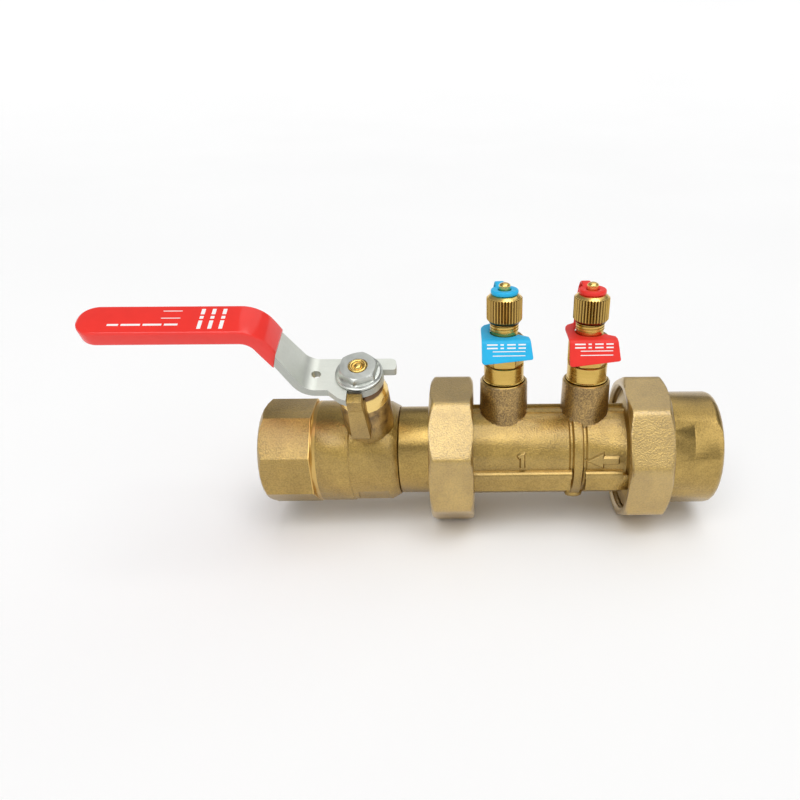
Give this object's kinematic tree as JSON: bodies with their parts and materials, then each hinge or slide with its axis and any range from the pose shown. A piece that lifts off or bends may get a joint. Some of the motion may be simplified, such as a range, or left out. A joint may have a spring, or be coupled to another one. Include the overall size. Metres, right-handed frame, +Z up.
{
  "type": "automatic balancing valve",
  "caption": "Brass automatic flow balancing valve with a spring cartridge, capped test ports, union nuts and a lever ball valve on the outlet.",
  "frame": {"origin": "on the pipe axis, below the housing and just left of the blue test port", "axes": "+X along the pipe towards the inlet, +Z up along the test ports, -Y towards the side with the flow arrow"},
  "size_m": [0.2183, 0.0638, 0.0963],
  "materials": {
    "cast_brass": "cast, dull and slightly brown",
    "brass": "blasted, with a fine grain",
    "bright_brass": "machined and bright",
    "steel": "plain",
    "polished_ball": "polished plating on brass",
    "rubber": "plain black",
    "white_plastic": "plain white",
    "blue_plastic": "soft, plain blue",
    "red_plastic": "soft, plain red",
    "red_grip": "dipped, glossy red"
  },
  "bodies": {
    "housing": {"centre_housing": "cast_brass", "cartridge_shell": "steel", "cartridge_seal": "rubber", "cartridge_end_cap": "steel", "cartridge_retainer": "steel", "cartridge_spring": "steel", "low_port_body": "bright_brass", "low_port_seal": "rubber", "low_port_core": "rubber", "low_port_core_retainer": "bright_brass", "low_port_tag": "blue_plastic", "low_port_strap": "blue_plastic", "high_port_body": "bright_brass", "high_port_seal": "rubber", "high_port_core": "rubber", "high_port_core_retainer": "bright_brass", "high_port_tag": "red_plastic", "high_port_strap": "red_plastic", "inlet_gasket": "rubber", "outlet_gasket": "rubber"},
    "piston": {"cartridge_piston": "steel"},
    "low_ring": {"low_port_strap_ring": "blue_plastic"},
    "low_cap": {"low_port_cap": "bright_brass", "low_port_cap_liner": "rubber"},
    "high_ring": {"high_port_strap_ring": "red_plastic"},
    "high_cap": {"high_port_cap": "bright_brass", "high_port_cap_liner": "rubber"},
    "inlet_tail": {"inlet_tailpiece": "brass"},
    "inlet_union_nut": {"inlet_nut": "brass"},
    "outlet_union_nut": {"outlet_nut": "brass"},
    "outlet_valve": {"outlet_tail": "brass", "valve_body": "brass", "inlet_ball_seat": "white_plastic", "outlet_ball_seat": "white_plastic", "stem_thrust_washer": "white_plastic", "stem_packing": "white_plastic", "gland_nut": "bright_brass"},
    "lever_and_ball": {"lever": "steel", "lever_grip": "red_grip", "lever_nut": "steel", "stem": "bright_brass", "ball": "polished_ball"}
  },
  "joints": [
    {"name": "piston_slide", "type": "slide", "parent": "housing", "child": "piston", "axis": [-1, 0, 0], "range_m": [0, 0.007], "stiffness_N_per_m": 800, "springref_m": -0.004, "deforming": ["cartridge_spring"]},
    {"name": "low_cap_lift", "type": "slide", "parent": "housing", "child": "low_ring", "axis": [0, 0, 1], "range_m": [0, 0.006], "deforming": ["low_port_strap"]},
    {"name": "low_cap_turn", "type": "hinge", "parent": "low_ring", "child": "low_cap", "pos_m": [0.0049, 0, 0.06], "axis": [0, 0, 1], "range_deg": [0, 2160]},
    {"name": "high_cap_lift", "type": "slide", "parent": "housing", "child": "high_ring", "axis": [0, 0, 1], "range_m": [0, 0.006], "deforming": ["high_port_strap"]},
    {"name": "high_cap_turn", "type": "hinge", "parent": "high_ring", "child": "high_cap", "pos_m": [0.0362, 0, 0.06], "axis": [0, 0, 1], "range_deg": [0, 2160]},
    {"name": "inlet_swivel", "type": "hinge", "parent": "housing", "child": "inlet_tail", "pos_m": [0.075, 0, 0], "axis": [1, 0, 0], "continuous": true},
    {"name": "inlet_nut_turn", "type": "hinge", "parent": "housing", "child": "inlet_union_nut", "pos_m": [0.059, 0, 0], "axis": [1, 0, 0], "continuous": true},
    {"name": "outlet_nut_turn", "type": "hinge", "parent": "housing", "child": "outlet_union_nut", "pos_m": [-0.015, 0, 0], "axis": [1, 0, 0], "continuous": true},
    {"name": "outlet_swivel", "type": "hinge", "parent": "housing", "child": "outlet_valve", "pos_m": [-0.03, 0, 0], "axis": [1, 0, 0], "continuous": true},
    {"name": "lever_turn", "type": "hinge", "parent": "outlet_valve", "child": "lever_and_ball", "pos_m": [-0.04591, 0, 0], "axis": [0, -0.4131, 0.9107], "range_deg": [-90, 0]}
  ],
  "couplings": [
    {"joint": "low_cap_lift", "follows": "low_cap_turn", "m_per_rad": 0.00015915},
    {"joint": "high_cap_lift", "follows": "high_cap_turn", "m_per_rad": 0.00015915}
  ]
}
